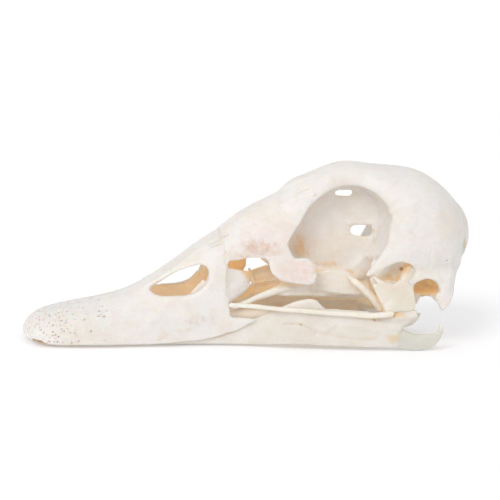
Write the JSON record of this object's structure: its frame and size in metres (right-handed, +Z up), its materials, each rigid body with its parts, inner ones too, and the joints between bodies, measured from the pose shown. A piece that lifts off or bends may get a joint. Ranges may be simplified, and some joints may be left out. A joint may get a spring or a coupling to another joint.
{
  "type": "duck skull",
  "caption": "Skull of a duck with its lower jaw closed: long flat beak, open nostrils, large eye sockets and round braincase, as bare bleached bone.",
  "frame": {"origin": "on the surface that the skull lies on, below the middle of its length and width", "axes": "+X from the tip of the beak to the back of the skull, +Y towards the skull's right side, +Z up"},
  "size_m": [0.1298, 0.0342, 0.0531],
  "materials": {
    "bone_white": "bare bleached bone, satin, with tan and orange stains in its hollows",
    "bone_jaw": "bare bone, satin, thin and faintly see-through at its rear hooks",
    "bone_cream": "bare bone, satin, cream",
    "bone_amber": "bare bone, satin, stained amber"
  },
  "bodies": {
    "root": {"cranium": "bone_white", "upper_beak": "bone_white", "lower_jaw": "bone_jaw", "quadrate_left": "bone_white", "quadrate_right": "bone_white", "pterygoid_left": "bone_amber", "pterygoid_right": "bone_amber", "palatine_left": "bone_cream", "palatine_right": "bone_cream", "vomer": "bone_cream", "jugal_left": "bone_white", "jugal_right": "bone_white"}
  },
  "joints": []
}
